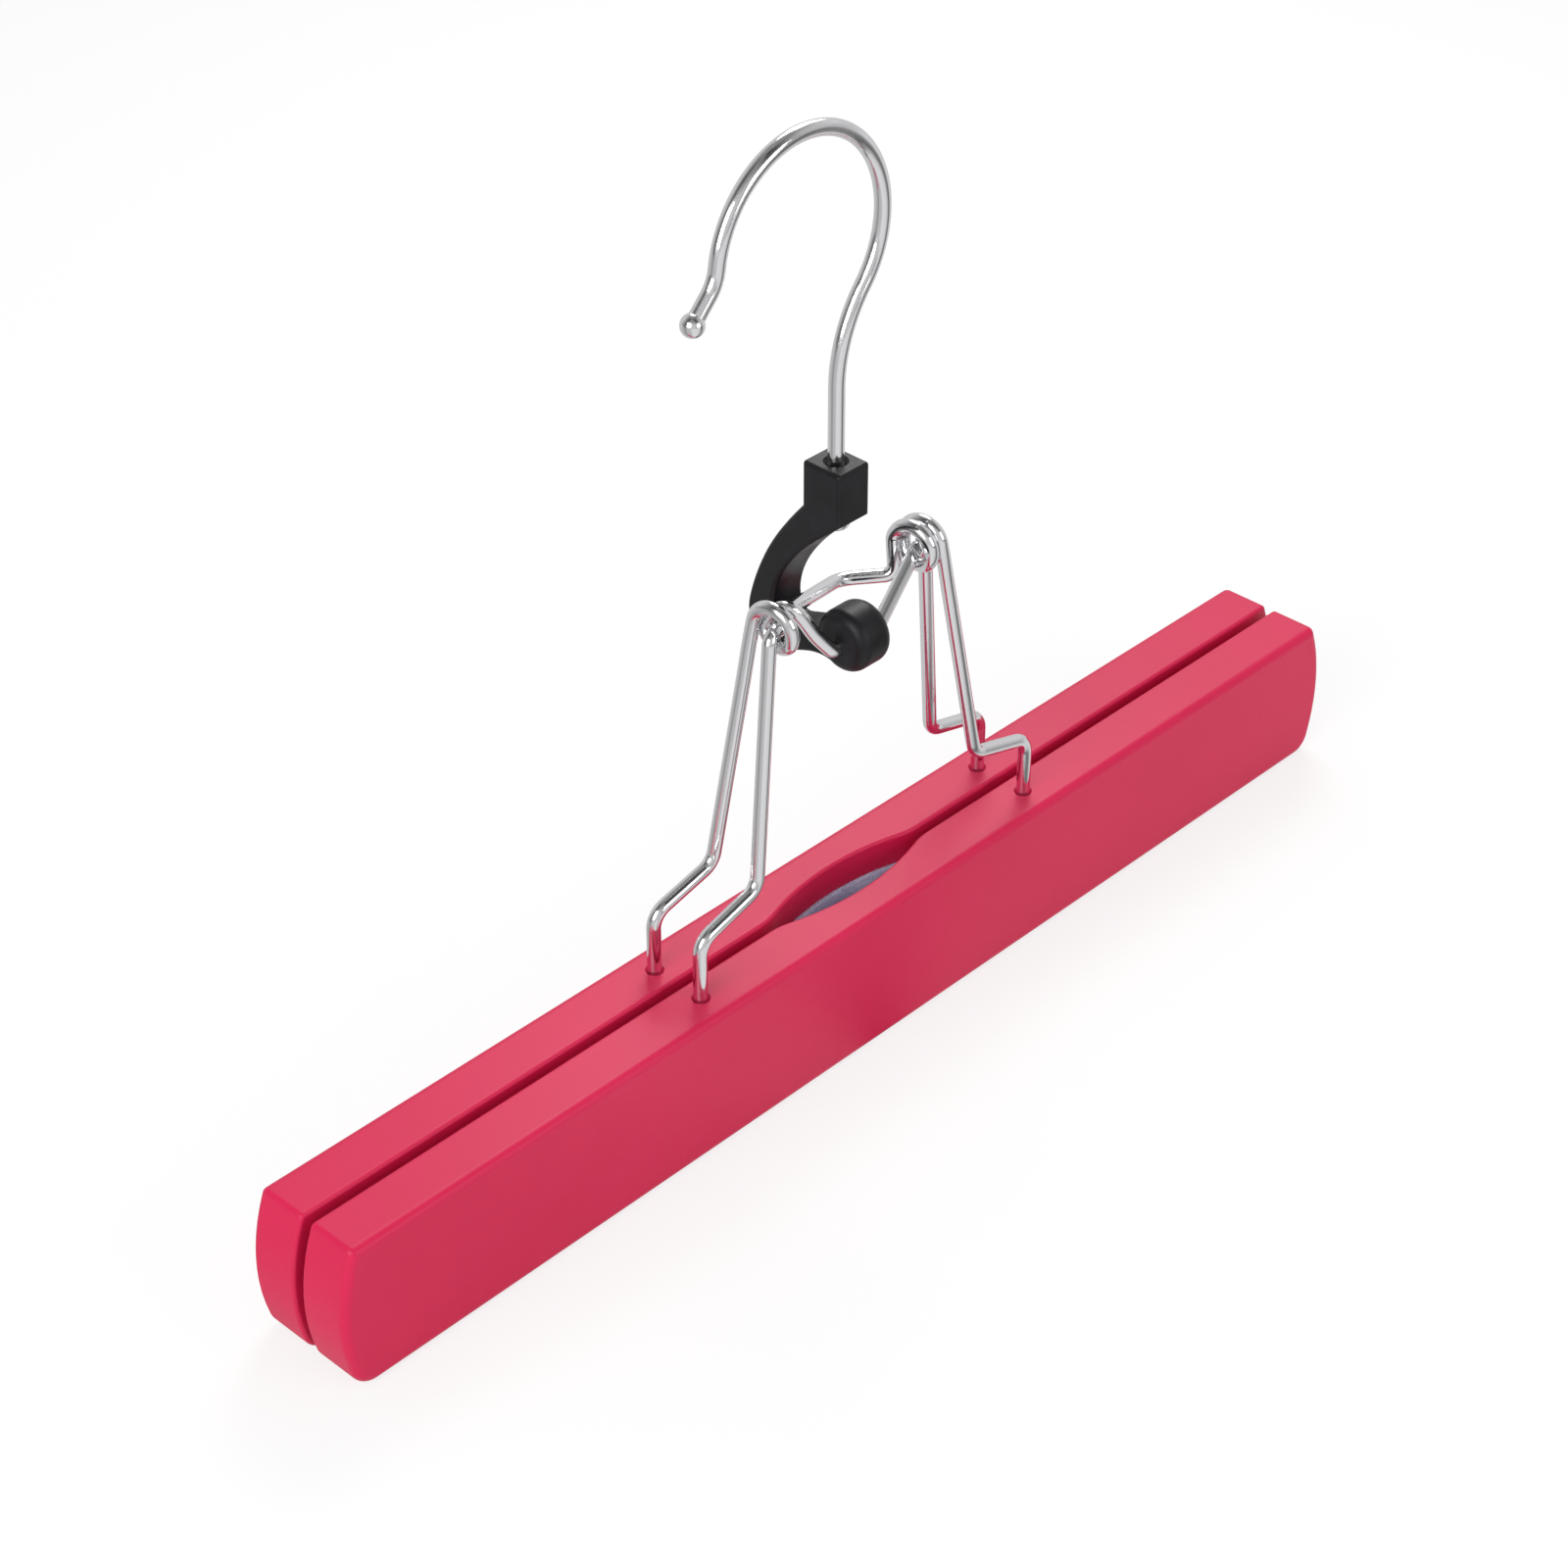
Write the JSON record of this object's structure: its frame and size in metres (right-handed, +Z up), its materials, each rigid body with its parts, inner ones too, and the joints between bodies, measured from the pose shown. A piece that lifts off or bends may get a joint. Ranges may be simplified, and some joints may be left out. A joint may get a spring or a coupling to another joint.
{
  "type": "trouser hanger",
  "caption": "Clamping trouser hanger: long painted wooden jaws lined with felt, on crossed wire frames under a swivel hook.",
  "frame": {"origin": "the point under the top of the hook's crown where the hook rests on the rail", "axes": "+X along the bar towards the end that the hook's open side turns away from, +Y from the front jaw to the rear jaw, +Z up"},
  "size_m": [0.29, 0.0322, 0.202],
  "materials": {
    "pink_paint": "satin paint on wood",
    "chrome_wire": "polished",
    "hook_chrome": "polished",
    "black_plastic": "satin",
    "grey_felt": "felt"
  },
  "bodies": {
    "hook": {"hook": "hook_chrome"},
    "claw": {"claw": "black_plastic"},
    "rear_half": {"rear_jaw": "pink_paint", "rear_frame": "chrome_wire", "rear_felt": "grey_felt"},
    "front_half": {"front_jaw": "pink_paint", "front_frame": "chrome_wire", "front_felt": "grey_felt"}
  },
  "joints": [
    {"name": "hook_swivel", "type": "hinge", "parent": "hook", "child": "claw", "pos_m": [0.0096, 0, -0.0793], "axis": [0, 0, 1], "continuous": true},
    {"name": "rear_swing", "type": "hinge", "parent": "claw", "child": "rear_half", "pos_m": [0.0096, -0.0048, -0.1046], "axis": [1, 0, 0], "range_deg": [0, 10.5]},
    {"name": "jaw_opening", "type": "hinge", "parent": "rear_half", "child": "front_half", "pos_m": [0.0136, -0.0003, -0.096], "axis": [1, 0, 0], "range_deg": [-21, 0]}
  ],
  "couplings": [
    {"joint": "jaw_opening", "follows": "rear_swing", "ratio": -2}
  ]
}
